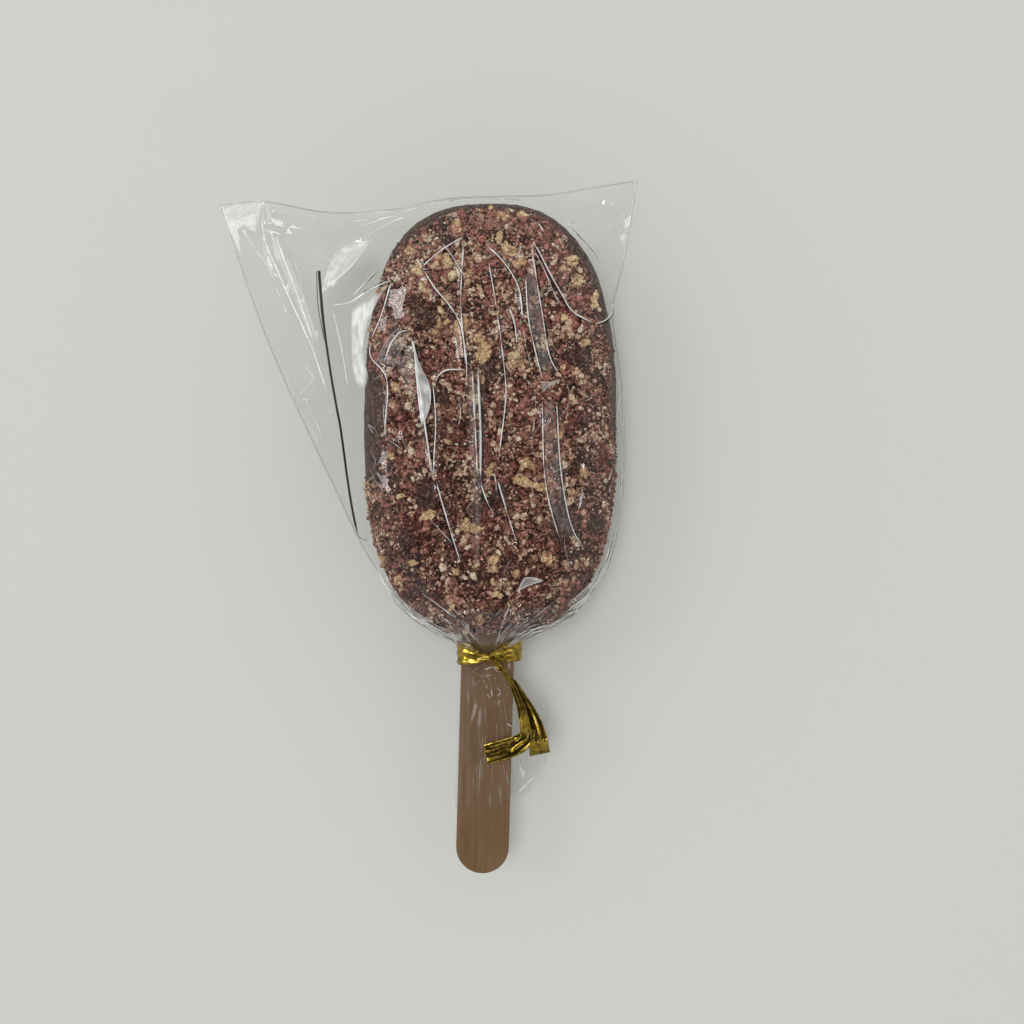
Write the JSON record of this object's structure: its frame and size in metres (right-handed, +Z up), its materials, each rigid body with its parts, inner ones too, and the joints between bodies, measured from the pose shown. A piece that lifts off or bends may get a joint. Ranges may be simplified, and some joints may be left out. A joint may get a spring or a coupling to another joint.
{
  "type": "cake pop",
  "caption": "Oblong cake pop in dark chocolate, rolled in berry and biscuit crumbs, on a flat wooden stick in a clear film bag with a gold twist tie, lying on its back.",
  "frame": {"origin": "on the resting face under the middle of the cake", "axes": "+X across the pop, +Y along it from the stick to the bag's closed end, +Z up out of the cake's face"},
  "size_m": [0.0816, 0.1328, 0.0272],
  "materials": {
    "coating": "dark chocolate coating, dull, thick with crumbs",
    "berry_crumb": "dry, crumbled freeze-dried fruit, dull",
    "biscuit_crumb": "dry baked crumb, dull",
    "stick_wood": "plain sanded wood with fine straight grain",
    "clear_film": "clear, stiff, glossy packing film with sharp creases",
    "gold_foil": "crinkled bright gold foil"
  },
  "bodies": {
    "root": {"cake": "coating", "stick": "stick_wood", "bag": "clear_film", "tie": "gold_foil"}
  },
  "joints": []
}
